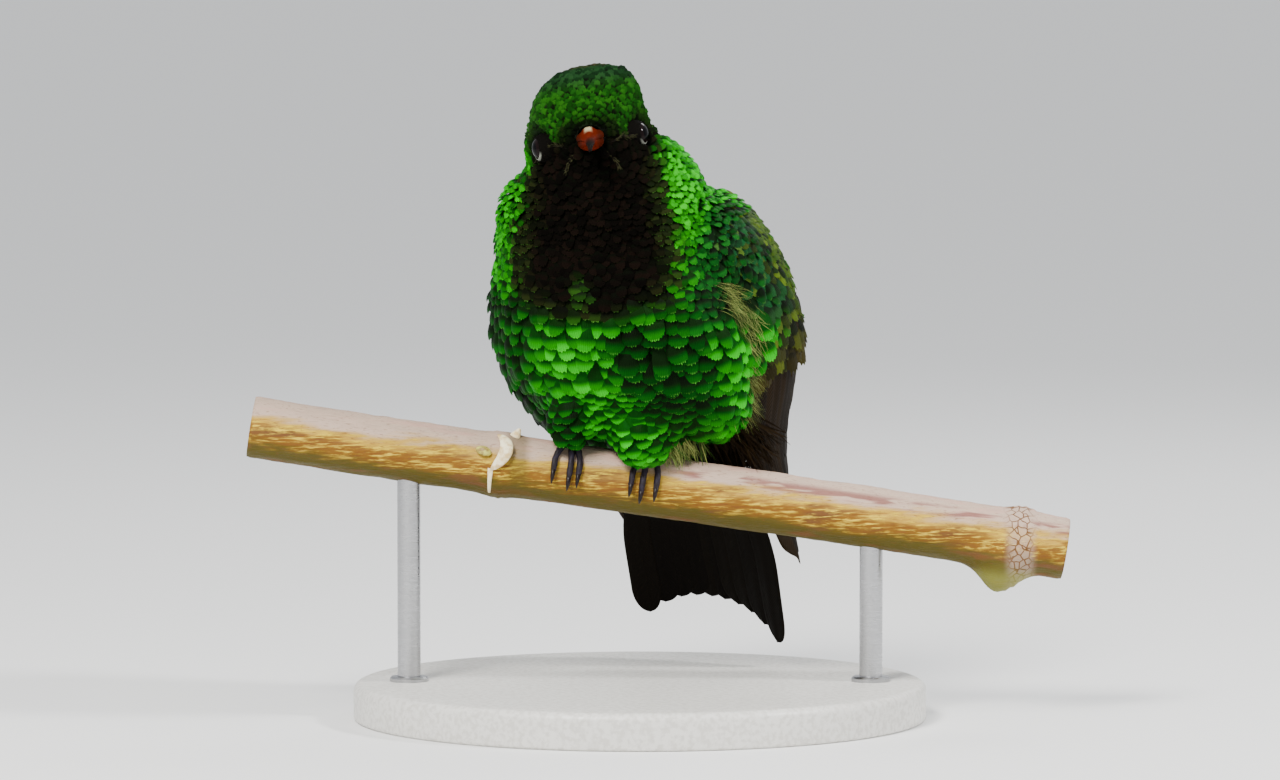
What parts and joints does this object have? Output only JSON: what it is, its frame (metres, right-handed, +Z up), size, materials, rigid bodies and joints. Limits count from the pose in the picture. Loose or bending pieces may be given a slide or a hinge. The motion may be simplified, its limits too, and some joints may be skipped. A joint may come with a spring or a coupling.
{
  "type": "hummingbird",
  "caption": "Life-size perched hummingbird, head turned to face forward, on a cut length of twig held by a plain round display stand.",
  "frame": {"origin": "centre of the stand base's flat underside, on the surface that the model stands on", "axes": "+Z up, +X along the twig towards its lower end and the bird's left, -Y the way the bill points"},
  "size_m": [0.089, 0.062, 0.0711],
  "materials": {
    "plumage": "glossy iridescent green body feathers",
    "flight_feathers": "satin black-brown vanes",
    "bill": "satin horn, red base and dark tip",
    "eyes": "wet gloss",
    "feet": "satin scaled skin",
    "claws": "satin horn",
    "bark": "matte young bark",
    "stand_base": "matte painted",
    "stand_rods": "satin"
  },
  "bodies": {
    "root": {"bill_lower": "bill", "bill_upper": "bill", "claw_left_1": "claws", "claw_left_2": "claws", "claw_left_3": "claws", "claw_left_4": "claws", "claw_right_1": "claws", "claw_right_2": "claws", "claw_right_3": "claws", "claw_right_4": "claws", "eye_left": "eyes", "eye_right": "eyes", "foot_left": "feet", "foot_right": "feet", "head": "plumage", "leg_left": "feet", "leg_right": "feet", "neck": "plumage", "perch": "bark", "stand_base": "stand_base", "stand_rod_left": "stand_rods", "stand_rod_right": "stand_rods", "tail": "flight_feathers", "thigh_left": "plumage", "thigh_right": "plumage", "trunk": "plumage", "wing_arm_left": "plumage", "wing_arm_right": "plumage", "wing_primaries_left": "flight_feathers", "wing_primaries_right": "flight_feathers", "wing_secondaries_left": "flight_feathers", "wing_secondaries_right": "flight_feathers"}
  },
  "joints": []
}
